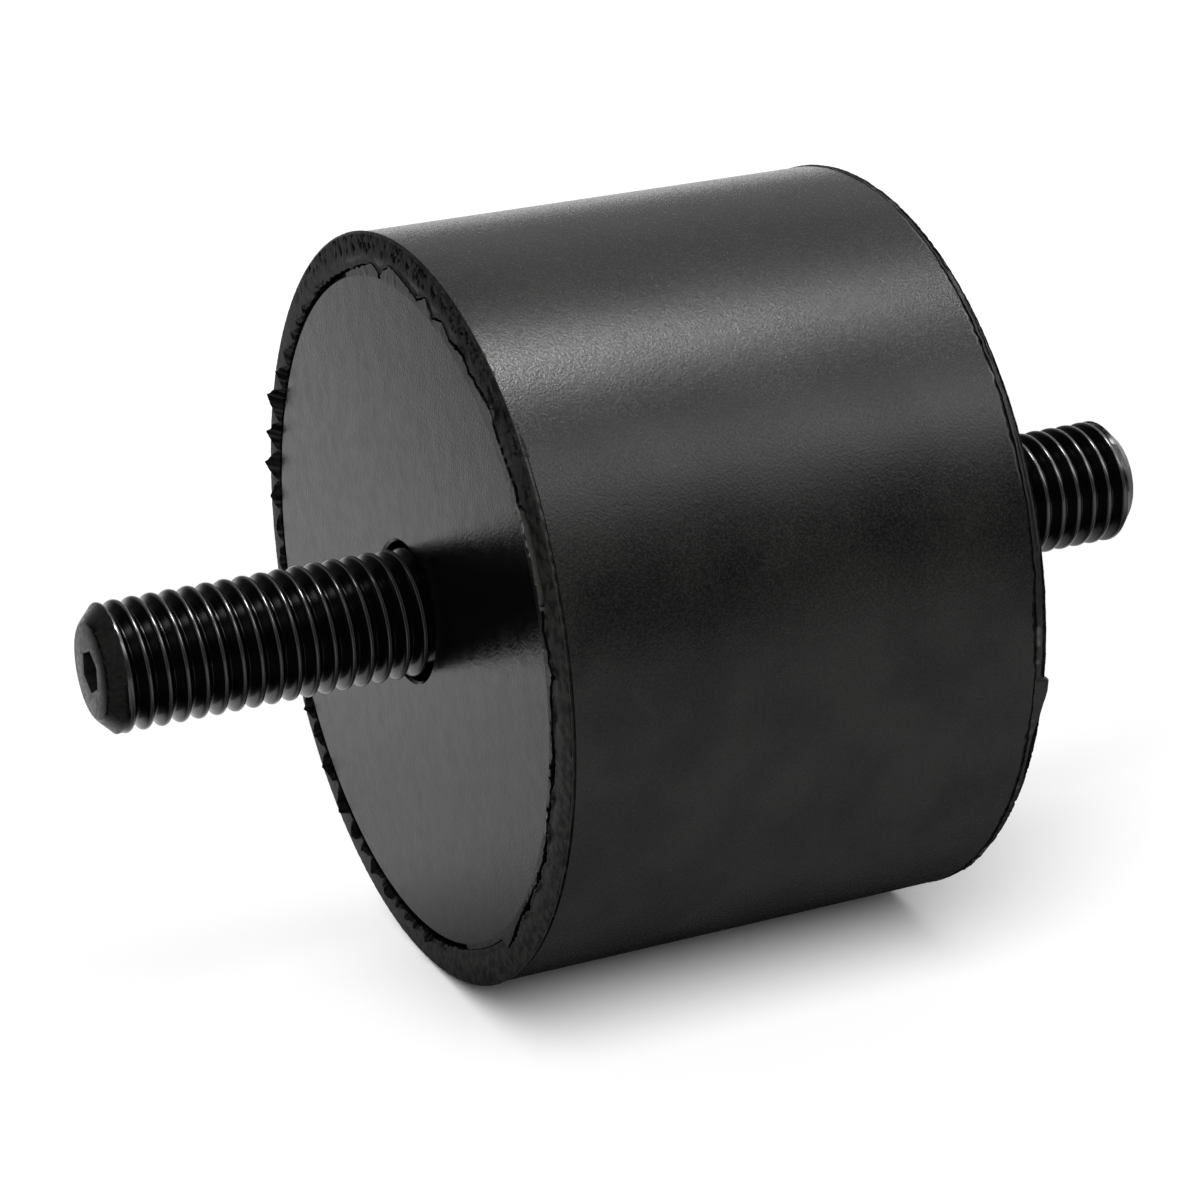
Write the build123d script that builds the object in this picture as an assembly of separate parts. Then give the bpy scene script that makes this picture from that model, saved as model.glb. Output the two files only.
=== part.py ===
from build123d import *
import os

# Cylindrical rubber buffer with a threaded stud at each end.
# It lies on its side: the common axis is X, the front stud points to -X, +Z is up.
# The origin is the middle of the rubber body, on the axis. All sizes are in millimetres.

# Rubber body
body_d = 70.0
height_over_plates = 47.5

# Trimmed band at each end, standing proud of the side, with a bevelled outer edge
band_proud = 0.15
front_band_w = 0.4
front_band_bevel = 0.25
rear_band_w = 1.4
rear_band_bevel = 0.4

# Parting groove behind each band
seam_w = 0.3
seam_depth = 0.25

# Rubber rim round each plate: a flat step, then a slope down to the outer edge
rim_w = 3.6
rim_flat_w = 1.5
rim_flat_drop = 0.12
rim_edge_drop = 0.3
edge_gap_w = 0.5
edge_gap_depth = 1.0

# End plates, steel discs let into the rubber
plate_t = 3.0
plate_hole_clearance = 0.6
plate_edge_break = 0.25

# Studs, with a flat head behind the plate and a thread relief where they pass through it
thread_d = 12.0
neck_d = 10.2
thread_start = 0.3
front_stud_reach = 30.5
rear_stud_reach = 28.5
stud_end_d = 9.0
head_d = 26.0
head_t = 4.0

# Hexagon socket in the free end of each stud
socket_across_flats = 3.5
socket_depth = 4.5

# Sizes that follow from the ones above
body_r = body_d / 2
band_r = body_r + band_proud
seam_r = body_r - seam_depth
plate_r = body_r - rim_w
gap_r = plate_r + edge_gap_w
rim_flat_r = gap_r + rim_flat_w
thread_r = thread_d / 2
neck_r = neck_d / 2
hole_r = thread_r + plate_hole_clearance
stud_end_r = stud_end_d / 2
head_r = head_d / 2
socket_r = socket_across_flats / 2
x_face = height_over_plates / 2
x_plate_back = x_face - plate_t
x_head_back = x_plate_back - head_t
x_thread = x_face + thread_start


def turned(*edges):
    """The solid swept round the X axis by a closed outline.

    Each point of the outline is (distance along the axis, radius).
    """
    section = Plane.XZ * make_face(list(edges))
    return revolve(section, axis=Axis.X, revolution_arc=360)


def to_front(shape):
    """Turn a part made for the rear end, at +X, round to the front end."""
    return shape.rotate(Axis.Z, 180)


def rubber_end(band_w, band_bevel):
    """The rubber's outline at one end, from the axis out to the side."""
    x_gap = x_face - edge_gap_depth
    x_flat = x_face - rim_flat_drop
    x_edge = x_face - rim_edge_drop
    x_band = x_edge - band_w
    x_seam = x_band - seam_w
    return Polyline(
        (x_head_back, 0),
        (x_head_back, head_r),
        (x_plate_back, head_r),
        (x_plate_back, plate_r),
        (x_gap, plate_r),
        (x_gap, gap_r),
        (x_flat, gap_r),
        (x_flat, rim_flat_r),
        (x_edge, band_r - band_bevel),
        (x_edge - band_bevel, band_r),
        (x_band, band_r),
        (x_band, seam_r),
        (x_seam, seam_r),
        (x_seam, body_r),
    )


def rubber_body():
    """One moulding: its side, bands, seams and rims, and the beds of plates and stud heads."""
    rear = rubber_end(rear_band_w, rear_band_bevel)
    front = mirror(rubber_end(front_band_w, front_band_bevel), about=Plane.YZ)
    side = Line(front @ 1, rear @ 1)
    centre_line = Line(front @ 0, rear @ 0)
    return turned(front, side, rear, centre_line)


def end_plate():
    """A steel disc with a clearance hole for the stud, its outer edges lightly broken."""
    return turned(
        Polyline(
            (x_plate_back, hole_r),
            (x_plate_back, plate_r),
            (x_face - plate_edge_break, plate_r),
            (x_face, plate_r - plate_edge_break),
            (x_face, hole_r + plate_edge_break),
            (x_face - plate_edge_break, hole_r),
            close=True,
        )
    )


def socket(x_tip):
    """The hexagon socket, cold-pressed into the end face, two of its corners on the Z axis."""
    end_face = Plane(origin=(x_tip, 0, 0), x_dir=(0, 0, 1), z_dir=(-1, 0, 0))
    flats = RegularPolygon(socket_r, 6, major_radius=False)
    return extrude(end_face * flats, socket_depth)


def stud(reach):
    """A bolt: flat head, relieved neck, shank at the thread's outside size, bevelled end."""
    x_tip = x_face + reach
    end_bevel = thread_r - stud_end_r
    bolt = turned(
        Polyline(
            (x_head_back, 0),
            (x_head_back, head_r),
            (x_plate_back, head_r),
            (x_plate_back, neck_r),
            (x_thread, neck_r),
            (x_thread, thread_r),
            (x_tip - end_bevel, thread_r),
            (x_tip, stud_end_r),
            (x_tip, 0),
            close=True,
        )
    )
    return bolt - socket(x_tip)


parts = {
    "rubber_body": rubber_body(),
    "front_plate": to_front(end_plate()),
    "rear_plate": end_plate(),
    "front_stud": to_front(stud(front_stud_reach)),
    "rear_stud": stud(rear_stud_reach),
}

os.makedirs("parts", exist_ok=True)
for name, shape in parts.items():
    export_step(shape, f"parts/{name}.step")
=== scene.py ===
import math
import random

import bmesh
import bpy
from mathutils import Matrix, Vector, noise


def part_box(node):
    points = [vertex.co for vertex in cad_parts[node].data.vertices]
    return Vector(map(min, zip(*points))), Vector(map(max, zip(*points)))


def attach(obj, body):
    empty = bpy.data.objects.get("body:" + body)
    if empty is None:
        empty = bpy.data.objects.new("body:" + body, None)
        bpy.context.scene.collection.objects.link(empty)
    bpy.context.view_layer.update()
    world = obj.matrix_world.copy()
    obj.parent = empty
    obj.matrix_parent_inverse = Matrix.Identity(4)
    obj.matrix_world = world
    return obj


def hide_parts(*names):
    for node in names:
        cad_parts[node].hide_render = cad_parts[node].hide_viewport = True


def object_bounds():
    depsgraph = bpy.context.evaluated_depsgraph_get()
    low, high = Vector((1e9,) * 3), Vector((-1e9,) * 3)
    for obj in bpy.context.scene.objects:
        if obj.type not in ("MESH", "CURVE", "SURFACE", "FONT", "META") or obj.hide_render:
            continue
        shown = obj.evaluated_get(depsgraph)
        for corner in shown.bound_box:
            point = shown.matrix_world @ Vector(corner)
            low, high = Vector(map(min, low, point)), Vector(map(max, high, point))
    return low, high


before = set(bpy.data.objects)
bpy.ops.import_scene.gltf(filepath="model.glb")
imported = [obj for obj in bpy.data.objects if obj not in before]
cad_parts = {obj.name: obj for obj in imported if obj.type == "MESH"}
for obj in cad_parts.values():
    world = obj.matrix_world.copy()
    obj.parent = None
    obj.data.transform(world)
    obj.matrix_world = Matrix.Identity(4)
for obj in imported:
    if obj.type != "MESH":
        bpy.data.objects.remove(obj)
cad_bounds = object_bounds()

# Lengths are written in millimetres, and turned to metres by MM where Blender needs them
MM = 0.001

# The common axis of body, plates and studs is X, through the origin
ORIGIN = Vector((0, 0, 0))
AXIS = Vector((1, 0, 0))

# Sizes read from the frame, in metres
FACE_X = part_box("rear_plate")[1].x
PLATE_BACK_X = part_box("rear_plate")[0].x
PLATE_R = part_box("rear_plate")[1].z
BAND_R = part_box("rubber_body")[1].z
HEAD_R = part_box("rear_stud")[1].z
HEAD_BACK_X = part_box("rear_stud")[0].x

# The last ring round the axis behind a head, which one flat face closes
CENTRE_R = HEAD_R / 20

# How near points lie that are merged, in metres: in general, and between turns of the thread
MERGE = 0.001 * MM
TURN_MERGE = 0.008 * MM

# How far a point may lie off a plane or a cone that it counts as lying on, in metres
NEAR = 0.01 * MM
CUT_NEAR = 0.0001 * MM

# Rubber moulding, in millimetres. Depths are measured inwards from the plate's face.
RUBBER_STEPS = 1440
BAND_PROUD = 0.15
EDGE_R = BAND_R / MM
SIDE_R = EDGE_R - BAND_PROUD

# The rim round a plate: a flat step, then a slope that stops a margin short of the outer edge
RIM_ROWS = 8
RIM_FLAT_W = 2.0
RIM_FLAT_R = PLATE_R / MM + RIM_FLAT_W
RIM_FLAT_DROP = 0.12
RIM_EDGE_DROP = 0.3
RIM_MARGIN = 0.35

# The gap round a plate, along which the flash was torn off. Where a skin is left inside it, a
# film laps over the plate's face. From the first of FLAP_SKIN's heights to the second, the skin
# turns into a thick flap.
GAP_DEPTH = 1.0
CLOSED_GAP = 0.02
OPEN_GAP = 0.12
SKIN_START = 0.02
FLAP_SKIN = (0.2, 0.3)
FILM_T = 0.012
FILM_LAP = 0.3
PLATE_EDGE_BREAK = 0.25

# The torn fin outside the gap
FIN_LEAST = 0.03
FIN_FOOT = 0.35
FIN_LEAN = 0.8

# The front rim's outer edge: its bevel, how much of that is gone where it was trimmed sharp, and
# the groove behind a sharp edge
FRONT_BEVEL = 0.28
FRONT_BEVEL_CUT = 0.2
FRONT_GROOVE_W = 0.33
FRONT_GROOVE_DEPTH = 0.18

# The rear band's bevel, and the lip before its parting groove
REAR_BEVEL = 0.4
LIP_W = 0.25

# Seeds of the unevenness round each end
FRONT_SEED = 11
REAR_SEED = 61
REAR_TEETH_SEED = 5

# How the rubber's surface is finished, kept on its points: a film over the plate's edge, trimmed
# by a knife, torn, and pale. Torn also paints shade into the gap and the grooves. Pale is partly
# stretched rubber and partly a painted highlight on edges, lips and flaps. The moulded side is
# none of these.
FINISHES = ("film", "trimmed", "torn", "pale")
PLAIN = (0, 0, 0, 0)

# How the flash was torn off round the front plate: angle in degrees from +Y towards +Z, then in
# millimetres how far outside the plate the gap runs, its width, and the height of the skin of
# rubber left between it and the plate
FRONT_TEAR = [
    (0, 0.25, 0.50, 0.0), (45, 0.25, 0.45, 0.0), (60, 0.25, 0.35, 0.0), (66, 0.30, 0.30, 0.0),
    (67, 0.32, 0.30, 0.1), (70, 0.45, 0.28, 0.1), (75, 0.70, 0.20, 0.1), (77.5, 0.90, 0.12, 0.1),
    (78.5, 0.95, 0.0, 0.1), (81, 0.10, 0.0, 0.1), (81.3, 0.10, 0.18, 0.1), (83.5, 0.75, 0.24, 0.1),
    (85.7, 1.35, 0.15, 0.1), (86, 1.40, 0.0, 0.1), (96.7, 0.25, 0.0, 0.1), (97, 0.30, 0.22, 0.1),
    (98.5, 0.80, 0.28, 0.1), (99.7, 1.25, 0.15, 0.1), (100, 1.30, 0.0, 0.1), (103, 0.30, 0.0, 0.1),
    (103.3, 0.30, 0.15, 0.1), (105, 0.70, 0.28, 0.1), (106.5, 1.10, 0.12, 0.1),
    (106.8, 1.10, 0.0, 0.1), (109.5, 0.50, 0.0, 0.1), (110, 0.50, 0.30, 0.12),
    (112, 0.85, 0.45, 0.12), (115, 1.15, 0.32, 0.12), (116.5, 0.95, 0.16, 0.12),
    (118, 0.60, 0.28, 0.12), (119.5, 1.0, 0.20, 0.12), (121, 0.85, 0.20, 0.14),
    (124, 1.40, 0.42, 0.15), (127, 1.50, 0.35, 0.15), (128.5, 1.0, 0.20, 0.14),
    (131, 0.75, 0.22, 0.14), (134, 0.75, 0.16, 0.14), (137, 0.85, 0.22, 0.14),
    (139.5, 1.10, 0.38, 0.15), (141.5, 0.60, 0.30, 0.15), (143, 1.30, 0.42, 0.3),
    (145, 1.45, 0.50, 0.4), (151, 1.40, 0.45, 0.4), (156.5, 1.30, 0.40, 0.35),
    (158, 0.70, 0.25, 0.15), (160, 0.50, 0.32, 0.1), (162, 0.30, 0.30, 0.1),
    (164.5, 0.80, 0.40, 0.12), (166, 0.60, 0.30, 0.12), (168, 1.30, 0.60, 0.14),
    (170, 0.50, 0.30, 0.1), (172, 0.40, 0.30, 0.1), (174.5, 0.45, 0.38, 0.12),
    (176, 0.35, 0.14, 0.12), (178, 0.35, 0.30, 0.12), (180, 0.50, 0.50, 0.1),
    (183, 0.50, 0.60, 0.1), (186, 0.40, 0.40, 0.1), (188, 0.25, 0.12, 0.14),
    (191, 0.30, 0.30, 0.12), (193.5, 0.25, 0.10, 0.16), (196, 0.30, 0.07, 0.18),
    (198, 0.45, 0.35, 0.1), (201, 0.65, 0.48, 0.1), (203.5, 0.45, 0.14, 0.12),
    (206, 0.60, 0.48, 0.1), (208, 0.50, 0.20, 0.14), (210, 0.25, 0.05, 0.14),
    (212.5, 0.35, 0.15, 0.12), (214, 0.50, 0.50, 0.1), (216, 0.40, 0.40, 0.1),
    (218, 0.30, 0.22, 0.12), (221, 0.60, 0.36, 0.1), (224, 1.0, 0.30, 0.08),
    (226.5, 1.25, 0.14, 0.06), (227.5, 1.35, 0.0, 0.06), (229, 0.35, 0.05, 0.05),
    (245, 0.25, 0.08, 0.05), (246, 0.25, 0.25, 0.0), (252, 0.25, 0.40, 0.0),
    (258, 0.30, 0.50, 0.0), (270, 0.32, 0.60, 0.0), (300, 0.32, 0.62, 0.0),
    (340, 0.28, 0.56, 0.0),
]
REAR_TEAR = [
    (0, 0.3, 0.5, 0.0), (80, 0.3, 0.4, 0.05), (90, 0.8, 0.3, 0.12), (140, 0.6, 0.3, 0.12),
    (175, 0.4, 0.35, 0.1), (190, 0.3, 0.5, 0.0), (250, 0.3, 0.5, 0.0), (262, 0.9, 0.2, 0.12),
    (300, 0.5, 0.2, 0.12), (320, 0.3, 0.5, 0.0),
]

# Teeth of torn flash that stand outside the gap at the front: the angles of foot, tip and foot
# in degrees, and the height in millimetres
FRONT_TEETH = [
    (-104, -102, -100, 0.30), (-99.5, -96.9, -94, 0.55), (-93, -91, -90.2, 0.35),
    (-90.2, -88.2, -86, 0.52), (-85.5, -83.5, -82.5, 0.40), (-82.5, -79.9, -76.5, 0.65),
    (-76, -73.5, -71, 0.55), (-70.5, -68.3, -67, 0.45), (-66.5, -64.4, -62, 0.62),
    (-60.5, -58.9, -54.8, 0.75), (-54, -50, -47.5, 0.75), (-47, -43.5, -41.5, 0.55),
    (-41.5, -39, -36, 0.70), (-35.5, -33, -30, 0.55), (-29, -26, -23, 0.65),
    (-22, -19, -16, 0.55), (-15, -12.5, -9.5, 0.50), (-9, -6.8, -3.8, 0.50),
    (-3.4, -0.7, 2.4, 0.80), (2.2, 5.6, 8.4, 1.15), (8.2, 11.6, 14.2, 1.15),
    (13.8, 19.4, 21.6, 1.35), (21.2, 24.6, 26.8, 0.88), (26.6, 29.8, 33.0, 0.60),
    (32.8, 35.3, 37, 0.45), (37, 38.7, 41, 0.38), (41, 43, 47, 0.32), (48, 51, 56, 0.22),
    (88, 91, 94, 0.12), (94, 97, 99, 0.14), (112, 114, 116, 0.20), (124, 127, 129, 0.22),
    (158, 161, 163, 0.15), (165, 167.5, 169, 0.25), (171, 174, 178, 0.18),
    (187, 189, 191, 0.25), (194, 196, 198, 0.30), (206, 208, 210, 0.22), (215, 217, 218, 0.20),
]

# How far the knife trimmed and pitted the rim: angle in degrees, then 0 for smooth to 1
FRONT_TRIM = [
    (0, 0.35), (30, 0.4), (60, 0.9), (80, 1.0), (110, 1.0), (135, 0.85), (160, 0.5), (200, 0.45),
    (225, 0.5), (245, 0.6), (270, 0.5), (300, 0.4), (340, 0.35),
]
REAR_TRIM = [(0, 0.5), (70, 0.9), (150, 0.4), (240, 0.9), (300, 0.6)]

# Where the front rim's edge is trimmed sharp, with an open groove behind it: angle, then 0 to 1
FRONT_SHARP = [(0, 0.3), (90, 0.0), (130, 0.0), (155, 1.0), (225, 1.0), (245, 0.3), (300, 0.2)]

# The rear parting line: angle, then millimetres: the groove's width and the lip's height
REAR_PARTING = [
    (0, 0.2, 0.05), (60, 0.15, 0.05), (100, 0.05, 0.03), (112, 0.08, 0.08), (125, 0.2, 0.1),
    (133, 0.3, 0.1), (136, 0.1, 0.1), (142, 0.35, 0.1), (150, 0.25, 0.12), (155, 0.12, 0.1),
    (160, 0.35, 0.1), (166, 0.15, 0.12), (172, 0.4, 0.1), (178, 0.3, 0.12), (181, 0.12, 0.08),
    (188, 0.12, 0.06), (192, 0.3, 0.1), (210, 0.3, 0.08), (240, 0.2, 0.05), (300, 0.2, 0.05),
]

# How wide the rear band is, from the rim's edge to the parting line: angle, then millimetres
REAR_BAND = [
    (0, 1.0), (60, 0.8), (100, 0.65), (140, 0.75), (160, 0.9), (172, 1.15), (190, 1.0),
    (205, 0.8), (225, 0.65), (255, 0.6), (300, 0.8),
]

# Height of the rear edge against the side: a nub of flash at 184 degrees, then a trimmed flat
REAR_EDGE = [
    (0, 0.1), (117, 0.1), (118, 0.0), (133, 0.08), (134, -0.05), (150, 0.05), (163, 0.05),
    (164, -0.05), (181, -0.18), (182.6, -0.2), (183.2, 0.15), (185, 0.15), (187, -0.08),
    (193, -0.38), (198, -0.2), (203, 0.05), (229, 0.1), (230, 0.0), (250, 0.1),
]

# How far the nub stands out over the rear rim's edge: angle, then millimetres
REAR_NUB = [(0, 0.0), (182.4, 0.0), (183, 0.45), (186, 0.4), (192, 0.12), (196, 0.0)]

# Studs, in metres: an M12 coarse thread that starts inside the plate's hole and runs out before
# the tip, the neck behind it, the chamfered end and the hexagon socket
THREAD_R = 6.0 * MM
THREAD_PITCH = 1.75 * MM
THREAD_STEPS = 120
CREST_ROUND = 0.41 * MM
ROOT_ROUND = 0.11 * MM
THREAD_INSET = 1.3 * MM
THREAD_START_X = FACE_X - THREAD_INSET
FRONT_THREAD_PHASE = 1.47 * MM
REAR_THREAD_PHASE = 0.32 * MM
RUN_OUT = 2.1 * MM
RUN_OUT_DONE = 0.7 * RUN_OUT
NECK_R = 5.1 * MM
END_R = 4.5 * MM
END_BREAK = 0.15 * MM
END_NICK = 0.02 * MM
SOCKET_FLAT_R = 1.75 * MM
SOCKET_DEPTH = 4.5 * MM
SOCKET_BREAK = 0.12 * MM

# Rubber: sRGB colours, a pair where they are mottled, then roughness and strength of the gloss
SIDE_COLOURS = ("0a0a0a", "1d1d1c")
TRIMMED_COLOURS = ("131313", "282826")
TORN_AND_SHADE_COLOURS = ("030303", "0d0d0d")
FILM_COLOUR = "080808"
PALE_AND_HIGHLIGHT_COLOUR = "6c6a66"
SIDE_ROUGHNESS = (0.18, 0.32)
FILM_ROUGHNESS_ADDED = 0.12
CUT_ROUGHNESS = 0.60
RUBBER_GLOSS = 0.28

# Plates and studs, in the same way
PLATE_COLOUR = "060606"
PLATE_ROUGHNESS = (0.17, 0.25)
PLATE_GLOSS = 0.25
THREAD_COLOUR = "030303"
CREST_COLOUR = "585858"
GROUND_COLOURS = ("101010", "1a1918")
THREAD_ROUGHNESS = 0.18
GROUND_ROUGHNESS = (0.3, 0.42)
STUD_GLOSS = 0.42

# The paper of the floor
PAPER_ROUGHNESS = 0.9

# The room that only gloss sees: degrees round the mount's axis, from the horizon in front over
# the top to the one behind, and how bright it is there. It is brightest a third of the way down
# in front, dimmer overhead, and bright again at the horizon behind.
ROOM = [
    (-90, 0.20), (-80, 0.10), (-70, 0.05), (-62, 0.06), (-55, 0.20), (-50, 0.55), (-45, 1.3),
    (-40, 2.5), (-33, 4.6), (-27, 3.4), (-20, 1.35), (-14, 1.5), (-8, 1.8), (-3, 2.1),
    (3, 2.4), (8, 2.5), (14, 2.25), (20, 1.8), (26, 1.25), (34, 0.85), (45, 0.72), (60, 0.63),
    (72, 0.58), (80, 0.30), (86, 0.12), (90, 2.1),
]
ROOM_PEAK = 5.0

# A softbox along the top: the angle of its middle, how many degrees it reaches to either side,
# and how much brightness it adds in the middle
SOFTBOX_ANGLE = 3
SOFTBOX_REACH = 12
SOFTBOX_STRENGTH = 52

# Fades, over the room by direction and over the floor by millimetres. A row gives the shares of
# X and Y that the fade runs along, its start and end, and its value at both.

# The room: the softbox ends to the right, all that is overhead ends to the left, and a dim wall
# stands at the horizon behind, dimmer still far to the left
SOFTBOX_FADES = [(1, 0, 0.28, 0.40, 1.0, 0.0)]
OVERHEAD_FADES = [(1, 0, 0.05, 0.35, 0.005, 1.0)]
WALL_FADES = [(0, 1, 0.5, 0.85, 0.01, 0.35), (1, 0, -0.45, -0.15, 0.15, 1.0)]

# The floor that gloss sees: dim paper in front, darkened towards the mount as a painted shadow,
# but none on the left, and white paper behind, with black card on the left and a painted shadow
# under the mount
FLOOR_SIZE = 6000 * MM
FRONT_PAPER = [(0, 1, -5, -68, 0.0, 0.55), (1, 0, -60, -20, 0.0, 1.0)]
BACK_PAPER = [
    (0, 1, -18, 22, 0.0, 1.0), (1, 0.5, -70, -54, 0.0, 1.0), (1, 0.15, -74, -60, 0.5, 1.1),
    (0, 1, 20, 70, 0.8, 1.0),
]

# The patch of it that the front stud's underside mirrors, darkened as a painted shadow, and how
# much darker that is
UNDER_STUD = [(1, 0, -34, -14, 0.0, 1.0), (0, 1, 25, 45, 0.0, 1.0), (0, 1, 110, 90, 0.0, 1.0)]
UNDER_STUD_PAINTED_SHADOW = 0.75

# Where the floor turns from paper with a shadow into pure white
FLOOR_GLOW = [(0, 1, -6, 16, 0.0, 1.0)]

# The lamp that casts the shadow: the direction it stands in and how wide it is. Matt surfaces
# also see the room, as an even dim light.
LAMP_STRENGTH = 3.75
LAMP_WIDTH = math.radians(50)
LAMP_DIRECTION = Vector((-0.20, -0.60, 0.77))
MATT_ROOM = 0.12

# Camera, worked out from the two rims in the photograph
CAMERA_AZIMUTH = math.radians(-25.63)
CAMERA_ELEVATION = math.radians(23.68)
CAMERA_DISTANCE = 370.9 * MM
CAMERA_ASIDE = -3.60 * MM
CAMERA_RAISE = -3.06 * MM
CAMERA_LENS = 117.95
SENSOR_WIDTH = 36.0

scene = bpy.context.scene


def linear(hex_colour):
    """An sRGB hex colour, such as "1a1a1a", as a linear colour with alpha."""
    channels = [int(hex_colour[i:i + 2], 16) / 255 for i in (0, 2, 4)]
    return [c / 12.92 if c <= 0.04045 else ((c + 0.055) / 1.055) ** 2.4 for c in channels] + [1.0]


def add_node(tree, kind, settings=None, **links):
    """Add a node with its settings, and link or set its inputs by name or place."""
    node = tree.nodes.new(kind)
    for key, value in (settings or {}).items():
        setattr(node, key, value)
    for key, value in links.items():
        socket = node.inputs[int(key[1:])] if key[0] == "_" else node.inputs[key.replace("_", " ")]
        if isinstance(value, bpy.types.NodeSocket):
            tree.links.new(value, socket)
        else:
            socket.default_value = value
    return node


def new_material(name):
    """An empty node material and its tree, shader and Object coordinates."""
    material = bpy.data.materials.new(name)
    material.use_nodes = True
    tree = material.node_tree
    shader = tree.nodes["Principled BSDF"]
    coordinates = add_node(tree, "ShaderNodeTexCoord").outputs["Object"]
    return material, tree, shader, coordinates


def maths(tree, operation, first, second=0.0):
    """The result of a maths node."""
    node = add_node(tree, "ShaderNodeMath", {"operation": operation}, _0=first, _1=second)
    return node.outputs[0]


def fade(tree, value, start, end, low=0.0, high=1.0):
    """A value run smoothly from low at start to high at end."""
    return add_node(tree, "ShaderNodeMapRange", {"interpolation_type": "SMOOTHSTEP"}, Value=value,
                    From_Min=start, From_Max=end, To_Min=low, To_Max=high).outputs["Result"]


def fades(tree, place, rows, unit=1.0):
    """Rows of fades over a place or direction, multiplied, with starts and ends in a unit."""
    split = add_node(tree, "ShaderNodeSeparateXYZ", Vector=place).outputs
    product = 1.0
    for x_share, y_share, start, end, low, high in rows:
        run = maths(tree, "ADD", maths(tree, "MULTIPLY", split["X"], x_share),
                    maths(tree, "MULTIPLY", split["Y"], y_share))
        product = maths(tree, "MULTIPLY", product,
                        fade(tree, run, start * unit, end * unit, low, high))
    return product


def blend(tree, factor, first, second):
    """A colour between two others, each a hex colour or a socket."""
    mix = add_node(tree, "ShaderNodeMix", {"data_type": "RGBA"}, _0=factor)
    sockets = {socket.identifier: socket for socket in (*mix.inputs, *mix.outputs)}
    for name, value in (("A_Color", first), ("B_Color", second)):
        if isinstance(value, str):
            sockets[name].default_value = linear(value)
        else:
            tree.links.new(value, sockets[name])
    return sockets["Result_Color"]


def between(tree, factor, first, second):
    """A value between two others. They are inputs 2 and 3 of the node, and 0 is the factor."""
    mix = add_node(tree, "ShaderNodeMix", {"data_type": "FLOAT"}, _0=factor, _2=first, _3=second)
    return mix.outputs[0]


def roughen(tree, shader, height, strength, depth):
    """Put a bump on a shader, of a height map, its strength and its depth in metres."""
    bump = add_node(tree, "ShaderNodeBump", Strength=strength, Distance=depth, Height=height)
    tree.links.new(bump.outputs["Normal"], shader.inputs["Normal"])


def grain(tree, place, cell, detail, stretch=(1, 1, 1)):
    """A noise with cells of about a size in metres, times the stretch along each axis."""
    scale = [1 / s for s in stretch]
    moved = add_node(tree, "ShaderNodeMapping", Vector=place, Scale=scale).outputs[0]
    return add_node(tree, "ShaderNodeTexNoise", Vector=moved, Scale=1 / cell,
                    Detail=detail).outputs["Fac"]


def axis_distance(tree, place):
    """Radius from the axis."""
    split = add_node(tree, "ShaderNodeSeparateXYZ", Vector=place).outputs
    flat = add_node(tree, "ShaderNodeCombineXYZ", Y=split["Y"], Z=split["Z"]).outputs[0]
    return add_node(tree, "ShaderNodeVectorMath", {"operation": "LENGTH"}, _0=flat).outputs["Value"]


def moulded_rubber():
    """Black natural rubber from a steel mould: a satin side with a coarse orange-peel grain that
    glints where the light falls on it, greyer and duller rims where a knife has trimmed the
    flash, near-black torn edges whose colour is also painted into the gap and grooves as shade,
    pale marks that are partly stretched rubber and partly a painted highlight on edges, lips and
    flaps, and a smooth thin film over the plate's edge."""
    material, tree, shader, place = new_material("moulded_rubber")
    film, trimmed, torn, pale = (
        add_node(tree, "ShaderNodeAttribute", {"attribute_name": name}).outputs["Fac"]
        for name in FINISHES
    )
    mottle = fade(tree, grain(tree, place, 0.7 * MM, 4.0), 0.38, 0.62)
    clouds = fade(tree, grain(tree, place, 9 * MM, 4.0), 0.35, 0.65)
    speckle = fade(tree, grain(tree, place, 0.22 * MM, 3.0), 0.27, 0.73)
    bloom = maths(tree, "MULTIPLY", maths(tree, "ADD", clouds, speckle), 0.5)
    side = blend(tree, bloom, *SIDE_COLOURS)
    colour = blend(tree, trimmed, side, blend(tree, mottle, *TRIMMED_COLOURS))
    colour = blend(tree, film, colour, FILM_COLOUR)
    # Torn rubber's near-black colour, also painted into the gap and grooves as shade
    colour = blend(tree, torn, colour, blend(tree, mottle, *TORN_AND_SHADE_COLOURS))
    # Pale marks: partly stretched rubber, partly a painted highlight on edges, lips and flaps
    colour = blend(tree, pale, colour, PALE_AND_HIGHLIGHT_COLOUR)
    tree.links.new(colour, shader.inputs["Base Color"])
    rough = maths(tree, "SUBTRACT", maths(tree, "MAXIMUM", trimmed, torn), film)
    matt_specks = fade(tree, speckle, 0.0, 1.0, *SIDE_ROUGHNESS)
    matt_specks = maths(tree, "ADD", matt_specks,
                        maths(tree, "MULTIPLY", film, FILM_ROUGHNESS_ADDED))
    tree.links.new(between(tree, rough, matt_specks, CUT_ROUGHNESS), shader.inputs["Roughness"])
    shader.inputs["Specular IOR Level"].default_value = RUBBER_GLOSS
    peel = grain(tree, place, 0.22 * MM, 3.0, (0.75, 1, 1))
    crumb = grain(tree, place, 0.22 * MM, 3.0)
    height = maths(tree, "MULTIPLY", between(tree, rough, peel, crumb),
                   maths(tree, "SUBTRACT", 1.0, maths(tree, "MULTIPLY", film, 0.8)))
    roughen(tree, shader, height, 0.9, 0.03 * MM)
    return material


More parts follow.
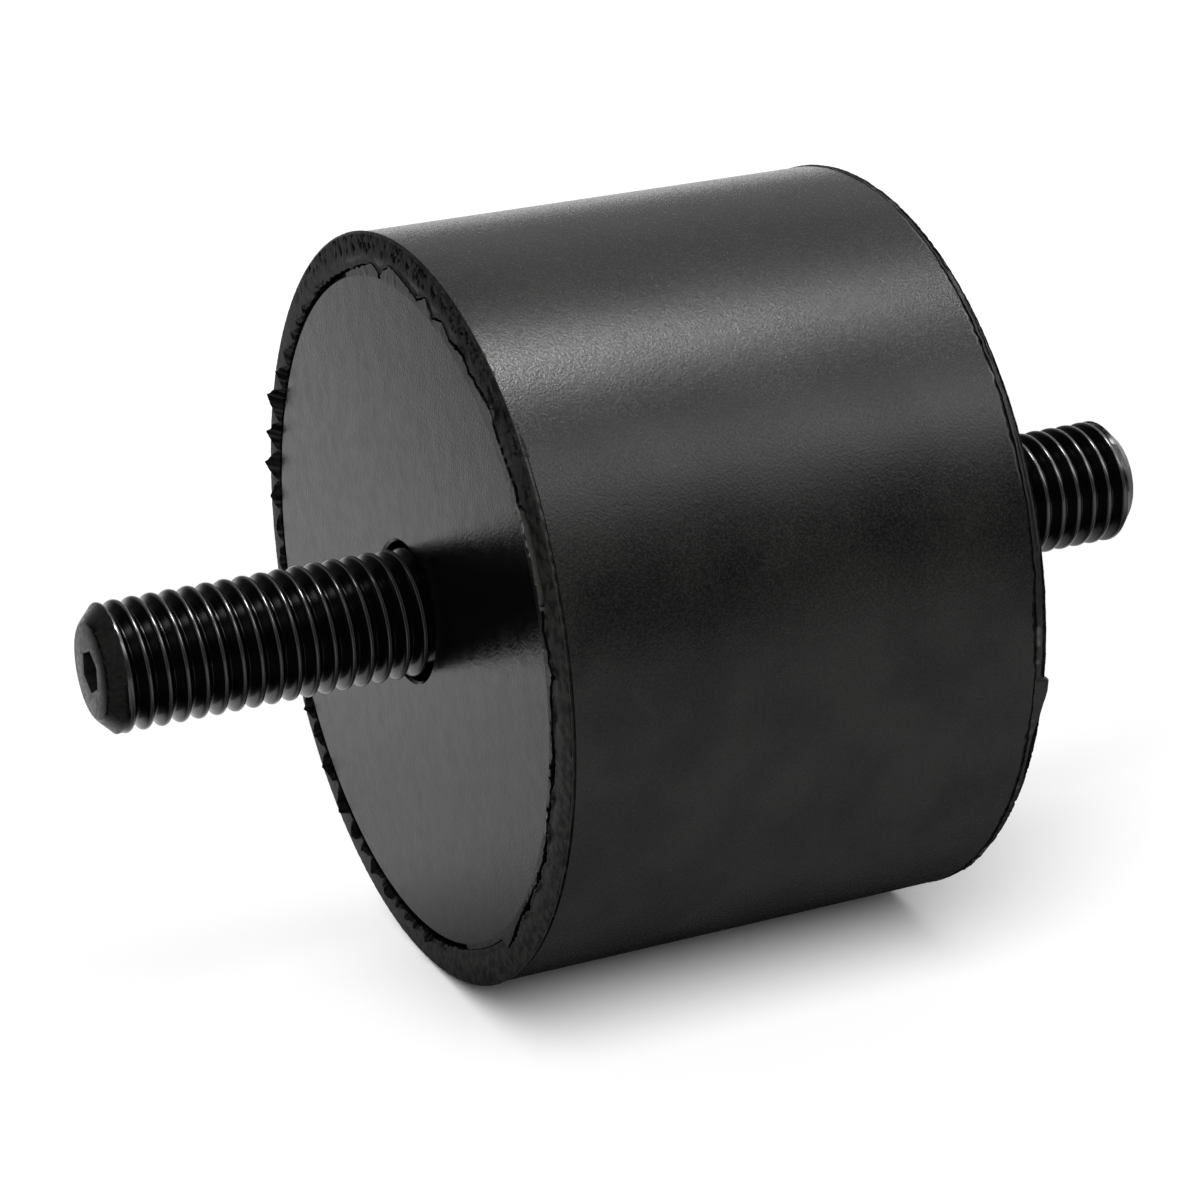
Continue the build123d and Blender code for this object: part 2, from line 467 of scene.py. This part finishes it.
def phosphated_steel():
    """Steel disc, phosphated black and oiled: a fine even grain that mirrors the floor softly."""
    material, tree, shader, place = new_material("phosphated_steel")
    patches = fade(tree, grain(tree, place, 1.6 * MM, 3.0), 0.3, 0.7, *PLATE_ROUGHNESS)
    tree.links.new(patches, shader.inputs["Roughness"])
    shader.inputs["Base Color"].default_value = linear(PLATE_COLOUR)
    shader.inputs["Specular IOR Level"].default_value = PLATE_GLOSS
    waves = maths(tree, "MULTIPLY", grain(tree, place, 4 * MM, 3.0), 1.5)
    height = maths(tree, "ADD", grain(tree, place, 0.3 * MM, 3.0), waves)
    roughen(tree, shader, height, 1.0, 0.02 * MM)
    return material


def black_oxide_steel():
    """Rolled thread, black oxide and oiled: near black with crisp lines of light, worn paler on
    the crests, and a ground end face of mottled grey."""
    material, tree, shader, place = new_material("black_oxide_steel")
    turned = add_node(tree, "ShaderNodeAttribute", {"attribute_name": "turned"}).outputs["Fac"]
    crest = fade(tree, axis_distance(tree, place), THREAD_R - 0.04 * MM, THREAD_R - 0.005 * MM)
    mottle = fade(tree, grain(tree, place, 0.4 * MM, 3.0), 0.3, 0.7)
    colour = blend(tree, crest, THREAD_COLOUR, CREST_COLOUR)
    colour = blend(tree, turned, colour, blend(tree, mottle, *GROUND_COLOURS))
    tree.links.new(colour, shader.inputs["Base Color"])
    tree.links.new(maths(tree, "MULTIPLY", crest, 0.9), shader.inputs["Metallic"])
    ground = fade(tree, mottle, 0.0, 1.0, *GROUND_ROUGHNESS)
    tree.links.new(between(tree, turned, THREAD_ROUGHNESS, ground), shader.inputs["Roughness"])
    shader.inputs["Specular IOR Level"].default_value = STUD_GLOSS
    roughen(tree, shader, grain(tree, place, 0.25 * MM, 3.0), 0.2, 0.02 * MM)
    return material


def new_piece(name, bm, material, slot, *nodes):
    """Turn a bmesh into a piece that rides on the mount and stands for CAD nodes."""
    mesh = bpy.data.meshes.new(name)
    bm.to_mesh(mesh)
    bm.free()
    mesh.materials.append(material)
    mesh.shade_smooth()
    mesh.set_sharp_from_angle(angle=math.radians(35))
    piece = bpy.data.objects.new(name, mesh)
    scene.collection.objects.link(piece)
    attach(piece, "root")
    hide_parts(*nodes)
    return piece


def radius_of(co):
    """Distance of a point from the axis."""
    return math.hypot(co.y, co.z)


def set_ring(vert, x, radius):
    """Move a vertex to a distance along the axis and a radius, at its own angle."""
    scale = radius / radius_of(vert.co)
    vert.co = (x, vert.co.y * scale, vert.co.z * scale)


def next_ring(bm, edges, place):
    """Extrude a ring of edges and put each new vertex where place(angle) says: (x, radius)."""
    grown = bmesh.ops.extrude_edge_only(bm, edges=edges)["geom"]
    for vert in grown:
        if isinstance(vert, bmesh.types.BMVert):
            set_ring(vert, *place(math.atan2(vert.co.z, vert.co.y)))
    return [e for e in grown if isinstance(e, bmesh.types.BMEdge) and e.is_boundary]


def smooth(low, high, value):
    """0 at low and 1 at high, with a smooth run between them; low may be the larger."""
    share = min(1.0, max(0.0, (value - low) / (high - low)))
    return share * share * (3 - 2 * share)


def along(table, angle):
    """The values of a table at an angle in degrees, between its rows on either side."""
    angle %= 360
    for low, high in zip(table, table[1:] + [(table[0][0] + 360, *table[0][1:])]):
        if low[0] <= angle < high[0]:
            share = (angle - low[0]) / (high[0] - low[0])
            return [a + (b - a) * share for a, b in zip(low[1:], high[1:])]


def waver(angle, length, seed):
    """An unevenness between about -1 and 1, with waves of a length in degrees. Each use has a
    seed of its own."""
    turn = math.radians(angle)
    reach = 180 / math.pi / length
    return noise.noise(Vector((math.cos(turn) * reach, math.sin(turn) * reach, seed)))


def tooth_height(teeth, angle):
    """Height of the torn flash at an angle: a rise to each tooth's tip and a fall behind it, and
    nothing between the teeth."""
    for start, tip, end, height in teeth:
        place = (angle - start) % 360 + start
        if place < end:
            share = (place - start) / (tip - start) if place < tip else (end - place) / (end - tip)
            return height * share ** 0.8
    return 0.0


def rim_roughness(angle, radius, trim, seed):
    """How far the trimmed rim stands out or is pitted at a place: streaks that run to the edge."""
    arc = math.radians(angle) * radius
    wave = noise.noise(Vector((arc / 1.1, radius / 1.1, seed)))
    fine = noise.noise(Vector((arc / 0.3, radius / 0.45, seed + 3)))
    streak = noise.noise(Vector((arc / 0.5, radius / 0.7, seed + 7)))
    worked = trim * smooth(RIM_FLAT_R - 0.7, RIM_FLAT_R + 0.3, radius)
    pit = smooth(0.2, 0.5, streak) * smooth(0.4, 1.0, worked)
    return 0.03 * wave + 0.04 * fine * (0.3 + worked) - 0.2 * pit


def film_outline(angle, skin, inner, pale, seed):
    """The film that laps over the plate's face and rises to the skin at the gap's inner side. A
    flap is smoother and less torn than a thin skin."""
    plate_r = PLATE_R / MM
    reach = inner - plate_r
    flap = smooth(*FLAP_SKIN, skin)
    scraps = waver(angle, 1.2, seed + 4) + waver(angle, 0.5, seed + 8)
    skin *= 1 + 0.25 * flap * scraps
    top = min(RIM_FLAT_DROP - skin, 0.0)
    flake = smooth(0.2, 0.35, waver(angle, 1.5, seed + 10)) * (1 - 0.8 * flap)
    curl = smooth(0.1, 0.5, waver(angle, 1.8, seed + 12))
    nicked = max(0.2, smooth(0.1, 0.35, waver(angle, 0.5, seed + 9)))
    return [
        (PLATE_EDGE_BREAK, plate_r + SKIN_START / 4, 1, 0, 0, 0),
        (-FILM_T, plate_r - FILM_LAP, 1, 0, 0, 0),
        (-FILM_T - 0.3 * skin * flake, plate_r + 0.3 * reach, 1, 0, flake, 0),
        # Pale marks on the film's rise and the skin's edge: partly stretched rubber, partly a
        # painted highlight
        (top - 0.03 * curl, plate_r + 0.7 * reach, 1, 0, 0, 0.06 * flap),
        (top, inner, 1, 0, nicked * (1 - 0.7 * flap), max(pale, 0.2 * flap)),
    ]


def fin_outline(teeth, outer, pale, seed, angle):
    """The torn fin outside the gap, leaning outwards: its foot at the gap, its tip and its foot
    on the rim."""
    height = tooth_height(teeth, angle) * (1 + 0.12 * waver(angle, 0.7, seed + 5)) + FIN_LEAST
    torn = smooth(0.05, 0.3, height)
    foot = outer + FIN_FOOT
    # Pale marks on the fin's foot and tip: partly stretched rubber, partly a painted highlight
    return [
        (RIM_FLAT_DROP, outer, 0, 1, max(torn, 0.4), pale),
        (RIM_FLAT_DROP - height, outer + 0.1 + FIN_LEAN * height, 0, 1, torn, pale),
        (RIM_FLAT_DROP, foot + FIN_LEAN * height * 0.5, 0, 1, torn * 0.5, 0),
    ]


def rim_face(start, trimming, skin, seed, angle):
    """The rim's face from the fin's foot outwards: pitted and darker where it was trimmed hard,
    and smeared smooth beside a skin."""
    end = EDGE_R - RIM_MARGIN
    face = []
    for row in range(1, RIM_ROWS + 1):
        radius = start + (end - start) * row / RIM_ROWS
        slope = max(0.0, (radius - RIM_FLAT_R) / (EDGE_R - RIM_FLAT_R))
        drop = RIM_FLAT_DROP + (RIM_EDGE_DROP - RIM_FLAT_DROP) * slope
        rough = rim_roughness(angle, radius, trimming, seed)
        dark = 0.75 * smooth(0.4, 1.0, trimming) * smooth(RIM_FLAT_R - 0.6, RIM_FLAT_R, radius)
        smeared = 0.8 * smooth(0, 0.1, skin) * smooth(0.2, -0.3, radius - RIM_FLAT_R + 0.6)
        face.append((drop - rough, radius, smeared * trimming, 1, dark, 0))
    return face


def rim_outline(tear, teeth, trim, seed, angle):
    """From the plate's edge to the rim's outer edge at an angle: depth and radius in millimetres,
    then how far the surface is film, trimmed, torn and pale."""
    offset, width, skin = along(tear, angle)
    trimming = along(trim, angle)[0]
    flap = smooth(*FLAP_SKIN, skin)
    ragged = 0.03 + 0.1 * smooth(0, 0.1, skin)
    offset += ragged * (waver(angle, 1.5, seed) + 0.7 * waver(angle, 0.6, seed + 1))
    width = max(CLOSED_GAP, width * (1 + (0.9 - 0.6 * flap) * waver(angle, 0.9, seed + 2)))
    plate_r = PLATE_R / MM
    inner = plate_r + max(3 * SKIN_START, offset - width / 2)
    outer = inner + width
    depth = GAP_DEPTH * smooth(0.0, OPEN_GAP, width)
    # Pale marks on the skin, flaps and fin: partly stretched rubber, partly a painted highlight
    pale = smooth(0.1, 0.45, waver(angle, 0.8, seed + 6)) * smooth(0.12, 0.16, skin)
    pale *= 0.6 - 0.5 * flap
    # The gap's walls, and its inner side where no skin is left, take the near-black torn colour,
    # which also paints shade into the narrow gap
    if skin and inner > plate_r + 4 * SKIN_START:
        film = film_outline(angle, skin, inner, pale, seed)
    else:
        film = [(depth, plate_r + SKIN_START * part / 5, 0, 0, 1, 0) for part in (5, 8, 11, 13, 14)]
    gap = [(depth, inner, 0, 0, 1, 0), (depth, outer, 0, 0, 1, 0)]
    fin = fin_outline(teeth, outer, 0.8 * pale, seed, angle)
    return film + gap + fin + rim_face(fin[-1][1], trimming, skin, seed, angle)


def front_edge(angle):
    """From the front rim's edge to the side: a light bevel, or a sharp edge with a painted
    highlight before a groove painted dark as shade.
    """
    sharp = along(FRONT_SHARP, angle)[0]
    ragged = 0.06 * max(0.0, waver(angle, 0.8, 21)) * (1 - 0.5 * sharp)
    bevel = FRONT_BEVEL - FRONT_BEVEL_CUT * sharp
    back = RIM_EDGE_DROP + bevel * 0.8
    groove_r = SIDE_R - FRONT_GROOVE_DEPTH * sharp * max(0.0, 1 + 0.8 * waver(angle, 1.5, 22))
    return [
        (RIM_EDGE_DROP - 0.03 * waver(angle, 0.7, 23), EDGE_R - bevel - ragged, 0, 1, 0.2, 0),
        # A painted highlight along the edge where it is sharp
        (back, EDGE_R - ragged, 0, 0.3, 0, 0.15 * sharp),
        (back + 0.03, EDGE_R - 0.04 - ragged, 0, 0, 0, 0),
        # The groove behind a sharp edge takes the near-black torn colour, painted in as shade
        (back + 0.05 + 0.1 * (1 - sharp), groove_r, 0, 0, 0.6 * sharp, 0),
        (back + FRONT_GROOVE_W, groove_r, 0, 0, 0.6 * sharp, 0),
        (back + 0.40, SIDE_R, 0, 0, 0, 0),
        (back + 0.60, SIDE_R, 0, 0, 0, 0),
    ]


def rear_edge(angle):
    """From the rear rim's edge to the side: bevel, band, torn lip and the parting groove, whose
    walls are painted near-black as shade. In the upper quarter that the camera sees, the band is
    dark and the side's edge beside the groove carries a painted highlight."""
    width, lip = along(REAR_PARTING, angle)
    width = max(CLOSED_GAP, 0.85 * width * (1 + 0.9 * waver(angle, 1.3, 31)))
    edge_r = SIDE_R + along(REAR_EDGE, angle)[0] - 0.04 * max(0.0, waver(angle, 1.5, 32))
    nub = along(REAR_NUB, angle)[0]
    groove_x = RIM_EDGE_DROP + along(REAR_BAND, angle)[0] + 0.1 * waver(angle, 2.5, 33)
    groove_x += 0.06 * waver(angle, 0.7, 34)
    lip_r = SIDE_R + lip * (0.8 + 0.7 * waver(angle, 1.0, 35))
    pale = smooth(0.15, 0.45, waver(angle, 2.1, 36))
    upper = smooth(95, 108, angle) * smooth(178, 165, angle)
    # A painted highlight on the side's edge beside the groove, in the upper quarter that the camera
    # sees
    painted_highlight = 0.7 * upper * smooth(-0.25, 0.15, waver(angle, 5, 37)) * smooth(160, 140, angle)
    return [
        (RIM_EDGE_DROP - nub, edge_r - REAR_BEVEL * (1 - nub), 0, 1, 0.2, 0),
        (min(RIM_EDGE_DROP + REAR_BEVEL - 1.5 * nub, groove_x - 1.5 * LIP_W), edge_r, 0, 0.3,
         0.6 * upper, 0),
        # Pale on the lip away from the upper quarter: partly stretched rubber, partly a painted
        # highlight
        (groove_x - LIP_W, min(edge_r, SIDE_R) - 0.02, 0, 0, 0.6 * upper, 0.5 * pale * (1 - upper)),
        (groove_x, min(EDGE_R, lip_r), 0, 0, 0.6 * upper, 0.4 * pale * (1 - upper)),
        # The parting groove's walls take the near-black torn colour, painted in as shade
        (groove_x + 0.02, SIDE_R - 0.5 * width, 0, 0, 1, 0),
        (groove_x + width, SIDE_R - 0.5 * width, 0, 0, 1, 0),
        (groove_x + width + 0.05, SIDE_R, 0, 0, 0, painted_highlight),
        (groove_x + width + 0.25, SIDE_R, 0, 0, 0, 0),
    ]


def rubber_outline(angle, rear_teeth):
    """The whole outline at an angle, from the front head's bed to the rear one's: places in
    metres, then the surface's finishes."""
    bed = [
        (HEAD_BACK_X, CENTRE_R, *PLAIN),
        (HEAD_BACK_X, HEAD_R, *PLAIN),
        (PLATE_BACK_X, HEAD_R, *PLAIN),
        (PLATE_BACK_X, PLATE_R, *PLAIN),
    ]
    front = rim_outline(FRONT_TEAR, FRONT_TEETH, FRONT_TRIM, FRONT_SEED, angle) + front_edge(angle)
    rear = rim_outline(REAR_TEAR, rear_teeth, REAR_TRIM, REAR_SEED, angle) + rear_edge(angle)
    front = bed + [(FACE_X - depth * MM, r * MM, *finish) for depth, r, *finish in front]
    rear = bed + [(FACE_X - depth * MM, r * MM, *finish) for depth, r, *finish in rear]
    return [(-x, *rest) for x, *rest in front] + rear[::-1]


def torn_teeth(seed):
    """Teeth of torn flash at random round the rear plate, which the photograph doesn't show."""
    draw = random.Random(seed)
    teeth = []
    start = 0.0
    while start < 352:
        width = draw.uniform(3, 8)
        tip = start + width * draw.uniform(0.3, 0.8)
        teeth.append((start, tip, start + width, draw.uniform(0.1, 0.6)))
        start += width + draw.uniform(0, 5)
    return teeth


def rubber_moulding(material):
    """The rubber, ring by ring: beds, torn rims, bands, parting grooves and side. Each ring's
    points carry their finishes for the material."""
    bm = bmesh.new()
    step = 2 * math.pi / RUBBER_STEPS
    rear_teeth = torn_teeth(REAR_TEETH_SEED)
    outlines = [rubber_outline(math.degrees(i * step), rear_teeth) for i in range(RUBBER_STEPS)]
    finishes = [bm.verts.layers.float.new(name) for name in FINISHES]
    to_axis = Matrix.Rotation(math.pi / 2, 4, "Y")
    bmesh.ops.create_circle(bm, radius=HEAD_R, segments=RUBBER_STEPS, matrix=to_axis)
    for vert in bm.verts:
        turn = round(math.atan2(vert.co.z, vert.co.y) / step) % RUBBER_STEPS
        set_ring(vert, *outlines[turn][0][:2])
    ring = bm.edges[:]
    bmesh.ops.contextual_create(bm, geom=ring)
    for row in range(1, len(outlines[0])):
        ring = next_ring(bm, ring,
                         lambda angle: outlines[round(angle / step) % RUBBER_STEPS][row][:2])
        for vert in {vert for edge in ring for vert in edge.verts}:
            turn = round(math.atan2(vert.co.z, vert.co.y) / step) % RUBBER_STEPS
            for layer, value in zip(finishes, outlines[turn][row][2:]):
                vert[layer] = value
    bmesh.ops.contextual_create(bm, geom=ring)
    bmesh.ops.remove_doubles(bm, verts=bm.verts, dist=MERGE)
    bmesh.ops.recalc_face_normals(bm, faces=bm.faces)
    return new_piece("rubber_moulding", bm, material, "moulded_rubber", "rubber_body")


def chain(bm, points):
    """Vertices joined by edges through points of (distance along the axis, radius)."""
    verts = [bm.verts.new((x, 0, r)) for x, r in points]
    edges = [bm.edges.new(pair) for pair in zip(verts, verts[1:])]
    return verts + edges


def thread_profile():
    """One pitch of a rolled 60-degree thread, from root to root, with broad round crests."""
    sharp_height = THREAD_PITCH / 2 / math.tan(math.radians(30))
    root_r = THREAD_R - sharp_height + CREST_ROUND + ROOT_ROUND
    root_turns = [math.radians(a) for a in (0, 30, 60)]
    crest_turns = [math.radians(a) for a in (60, 48, 36, 24, 12, 0)]
    root = [(ROOT_ROUND * math.sin(a), root_r + ROOT_ROUND * (1 - math.cos(a)))
            for a in root_turns]
    crest = [(THREAD_PITCH / 2 - CREST_ROUND * math.sin(a),
              THREAD_R - CREST_ROUND * (1 - math.cos(a))) for a in crest_turns]
    rise = root + crest
    fall = [(THREAD_PITCH - x, r) for x, r in reversed(rise[:-1])]
    return rise + fall


def open_edges(bm, x):
    """The open edges of a mesh that lie in the plane at x."""
    return [e for e in bm.edges if e.is_boundary and all(abs(v.co.x - x) < NEAR for v in e.verts)]


def hexagon_r(angle):
    """Distance from the axis to the wall of the hexagon socket, which has a corner straight up."""
    side = math.radians(60)
    return SOCKET_FLAT_R / math.cos((angle + side / 2) % side - side / 2)


def thread_limit(x, angle, tip_x):
    """The largest radius that the chamfers at both ends of the thread leave."""
    nicked_at = Vector((math.cos(angle) * 9, math.sin(angle) * 9, tip_x))
    nick = END_NICK * max(0.0, noise.noise(nicked_at))
    chamfer = END_R + tip_x - x
    broken_edge = END_R - END_BREAK - nick + 2 * (tip_x - x)
    return min(chamfer, broken_edge, NECK_R + x - THREAD_START_X)


def rolled_thread(bm, tip_x, phase):
    """The thread as an open tube: turns of the profile, cut at its start and at the tip, and
    pressed in to the chamfers and the run-out."""
    turns = math.ceil((tip_x - THREAD_START_X) / THREAD_PITCH) + 3
    one_turn = chain(bm, thread_profile())
    bmesh.ops.spin(bm, geom=one_turn, cent=ORIGIN, axis=AXIS, angle=2 * math.pi,
                   dvec=AXIS * THREAD_PITCH / THREAD_STEPS, steps=THREAD_STEPS)
    first = bm.verts[:] + bm.edges[:] + bm.faces[:]
    for turn in range(1, turns):
        copy = bmesh.ops.duplicate(bm, geom=first)["geom"]
        bmesh.ops.translate(bm, verts=[v for v in copy if isinstance(v, bmesh.types.BMVert)],
                            vec=AXIS * THREAD_PITCH * turn)
    bmesh.ops.remove_doubles(bm, verts=bm.verts, dist=TURN_MERGE)
    bmesh.ops.translate(bm, verts=bm.verts, vec=AXIS * (THREAD_START_X - 2 * THREAD_PITCH + phase))
    for x, outwards in ((THREAD_START_X, False), (tip_x - END_BREAK / 2, False), (tip_x, True)):
        bmesh.ops.bisect_plane(bm, geom=bm.verts[:] + bm.edges[:] + bm.faces[:], dist=CUT_NEAR,
                               plane_co=AXIS * x, plane_no=AXIS, clear_outer=outwards,
                               clear_inner=x == THREAD_START_X)
    for vert in bm.verts:
        limit = thread_limit(vert.co.x, math.atan2(vert.co.z, vert.co.y), tip_x)
        limit = min(limit, THREAD_R)
        radius = radius_of(vert.co)
        radius += (limit - radius) * smooth(tip_x - RUN_OUT, tip_x - RUN_OUT_DONE, vert.co.x)
        set_ring(vert, vert.co.x, min(radius, limit))


def threaded_stud(name, tip_x, phase, material, nodes):
    """A stud: flat head, relieved neck, rolled thread and a chamfered end with a hexagon socket.
    It is made at the rear, and the front one is turned round."""
    bm = bmesh.new()
    rolled_thread(bm, tip_x, phase)
    ring = open_edges(bm, THREAD_START_X)
    for x, radius in ((THREAD_START_X, NECK_R), (PLATE_BACK_X, NECK_R), (PLATE_BACK_X, HEAD_R),
                      (HEAD_BACK_X, HEAD_R), (HEAD_BACK_X, CENTRE_R)):
        ring = next_ring(bm, ring, lambda angle: (x, radius))
    bmesh.ops.contextual_create(bm, geom=ring)
    ring = open_edges(bm, tip_x)
    for x, gap in ((tip_x, 4 * SOCKET_BREAK), (tip_x, SOCKET_BREAK), (tip_x - SOCKET_BREAK, 0),
                   (tip_x - SOCKET_DEPTH, 0)):
        ring = next_ring(bm, ring, lambda angle: (x, hexagon_r(angle) + gap))
    ring = next_ring(bm, ring, lambda angle: (tip_x - SOCKET_DEPTH, SOCKET_FLAT_R / 10))
    bmesh.ops.contextual_create(bm, geom=ring)
    bmesh.ops.remove_doubles(bm, verts=bm.verts, dist=MERGE)
    bmesh.ops.recalc_face_normals(bm, faces=bm.faces)
    turned = bm.verts.layers.float.new("turned")
    for vert in bm.verts:
        on_chamfer = vert.co.x + radius_of(vert.co) > tip_x + END_R - NEAR
        in_socket = vert.co.x > tip_x - SOCKET_DEPTH - NEAR and radius_of(vert.co) < END_R
        vert[turned] = float(on_chamfer or in_socket)
    if nodes[0].startswith("front"):
        bmesh.ops.rotate(bm, verts=bm.verts, cent=ORIGIN, matrix=Matrix.Rotation(math.pi, 3, "Z"))
    return new_piece(name, bm, material, "stud_steel", *nodes)


def studio_floor():
    """White paper under the mount. To the eye it is pure white behind the mount and keeps the
    shadow in front of it. Gloss sees white paper behind, dimmer paper in front, black card to the
    left, as a studio hides what it doesn't want in the shine, and a painted shadow near and under
    the mount and where the front stud's underside mirrors it."""
    bm = bmesh.new()
    bmesh.ops.create_grid(bm, x_segments=1, y_segments=1, size=FLOOR_SIZE / 2)
    bmesh.ops.translate(bm, verts=bm.verts, vec=(0, 0, cad_bounds[0].z))
    mesh = bpy.data.meshes.new("floor")
    bm.to_mesh(mesh)
    bm.free()
    floor = bpy.data.objects.new("floor", mesh)
    scene.collection.objects.link(floor)
    material, tree, shader, place = new_material("white_paper")
    shader.inputs["Roughness"].default_value = PAPER_ROUGHNESS
    shader.inputs["Specular IOR Level"].default_value = 0.0
    rays = add_node(tree, "ShaderNodeLightPath").outputs
    # Gloss sees the paper darkened near and under the mount and under the front stud: a painted
    # shadow
    under_stud = maths(tree, "MULTIPLY", fades(tree, place, UNDER_STUD, MM), UNDER_STUD_PAINTED_SHADOW)
    behind = maths(tree, "MULTIPLY", fades(tree, place, BACK_PAPER, MM),
                   maths(tree, "SUBTRACT", 1.0, under_stud))
    paper = maths(tree, "MAXIMUM", fades(tree, place, FRONT_PAPER, MM), behind)
    paper = maths(tree, "MAXIMUM", paper, maths(tree, "SUBTRACT", 1.0, rays["Is Glossy Ray"]))
    seen = maths(tree, "MAXIMUM", rays["Is Camera Ray"], rays["Is Glossy Ray"])
    seen = maths(tree, "MAXIMUM", seen, rays["Is Transmission Ray"])
    glow = maths(tree, "MULTIPLY", seen, fades(tree, place, FLOOR_GLOW, MM))
    matt = maths(tree, "MULTIPLY", paper, maths(tree, "SUBTRACT", 1.0, glow))
    tree.links.new(matt, shader.inputs["Base Color"])
    shader.inputs["Emission Color"].default_value = linear("ffffff")
    tree.links.new(maths(tree, "MULTIPLY", paper, glow), shader.inputs["Emission Strength"])
    mesh.materials.append(material)


def shadow_lamp():
    """A broad light in front that casts the shadow and doesn't show in gloss."""
    lamp = bpy.data.lights.new("front_light", "SUN")
    lamp.energy = LAMP_STRENGTH
    lamp.angle = LAMP_WIDTH
    holder = bpy.data.objects.new("front_light", lamp)
    holder.rotation_euler = LAMP_DIRECTION.to_track_quat("Z", "Y").to_euler()
    holder.visible_glossy = False
    scene.collection.objects.link(holder)


def room_profile(tree, turn):
    """The room's brightness at an angle round the mount's axis, in radians from the top."""
    share = maths(tree, "ADD", maths(tree, "DIVIDE", turn, math.pi), 0.5)
    profile = add_node(tree, "ShaderNodeValToRGB", Fac=share)
    stops = profile.color_ramp.elements
    for angle, brightness in ROOM:
        first, last = angle == ROOM[0][0], angle == ROOM[-1][0]
        stop = stops[0] if first else stops[-1] if last else stops.new((angle + 90) / 180)
        stop.color = [brightness / ROOM_PEAK] * 3 + [1.0]
    return maths(tree, "MULTIPLY", profile.outputs["Color"], ROOM_PEAK)


def studio_room():
    """The room round the mount. Gloss sees its profile, a softbox along the top and a dim wall
    behind; matt surfaces see an even dim light, and the camera sees white."""
    world = bpy.data.worlds.new("studio")
    scene.world = world
    world.use_nodes = True
    tree = world.node_tree
    rays = add_node(tree, "ShaderNodeLightPath").outputs
    direction = add_node(tree, "ShaderNodeTexCoord").outputs["Generated"]
    split = add_node(tree, "ShaderNodeSeparateXYZ", Vector=direction).outputs
    turn = maths(tree, "ARCTAN2", split["Y"], split["Z"])
    off_softbox = maths(tree, "ABSOLUTE",
                        maths(tree, "SUBTRACT", turn, math.radians(SOFTBOX_ANGLE)))
    softbox = fade(tree, off_softbox, 0.0, math.radians(SOFTBOX_REACH), SOFTBOX_STRENGTH, 0.0)
    softbox = maths(tree, "MULTIPLY", softbox, fades(tree, direction, SOFTBOX_FADES))
    overhead = maths(tree, "ADD", room_profile(tree, turn), softbox)
    overhead = maths(tree, "MULTIPLY", overhead, fades(tree, direction, OVERHEAD_FADES))
    room = maths(tree, "MAXIMUM", overhead, fades(tree, direction, WALL_FADES))
    glossy = maths(tree, "MULTIPLY", rays["Is Glossy Ray"], room)
    matt = maths(tree, "SUBTRACT", 1.0, rays["Is Glossy Ray"])
    matt = maths(tree, "MULTIPLY", matt, MATT_ROOM)
    strength = maths(tree, "MAXIMUM", maths(tree, "ADD", glossy, matt), rays["Is Camera Ray"])
    background = tree.nodes["Background"]
    background.inputs["Color"].default_value = linear("ffffff")
    tree.links.new(strength, background.inputs["Strength"])


def photo_camera():
    """The camera at the photograph's place, with its lens and sensor."""
    back = Vector((
        math.sin(CAMERA_AZIMUTH) * math.cos(CAMERA_ELEVATION),
        -math.cos(CAMERA_AZIMUTH) * math.cos(CAMERA_ELEVATION),
        math.sin(CAMERA_ELEVATION),
    ))
    right = Vector((0, 0, 1)).cross(back).normalized()
    up = back.cross(right)
    data = bpy.data.cameras.new("photo_camera")
    data.lens = CAMERA_LENS
    data.sensor_width = SENSOR_WIDTH
    data.sensor_fit = "HORIZONTAL"
    camera = bpy.data.objects.new("photo_camera", data)
    camera.location = back * CAMERA_DISTANCE + right * CAMERA_ASIDE + up * CAMERA_RAISE
    camera.rotation_euler = Matrix((right, up, back)).transposed().to_euler()
    scene.collection.objects.link(camera)
    scene.camera = camera


rubber = moulded_rubber()
phosphated = phosphated_steel()
black_oxide = black_oxide_steel()

rubber_moulding(rubber)
threaded_stud("front_threaded_stud", -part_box("front_stud")[0].x, FRONT_THREAD_PHASE, black_oxide,
              ["front_stud"])
threaded_stud("rear_threaded_stud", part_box("rear_stud")[1].x, REAR_THREAD_PHASE, black_oxide,
              ["rear_stud"])
for node in ("front_plate", "rear_plate"):
    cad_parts[node].data.materials.clear()
    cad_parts[node].data.materials.append(phosphated)

studio_floor()
shadow_lamp()
studio_room()
photo_camera()
scene.view_settings.view_transform = "Standard"
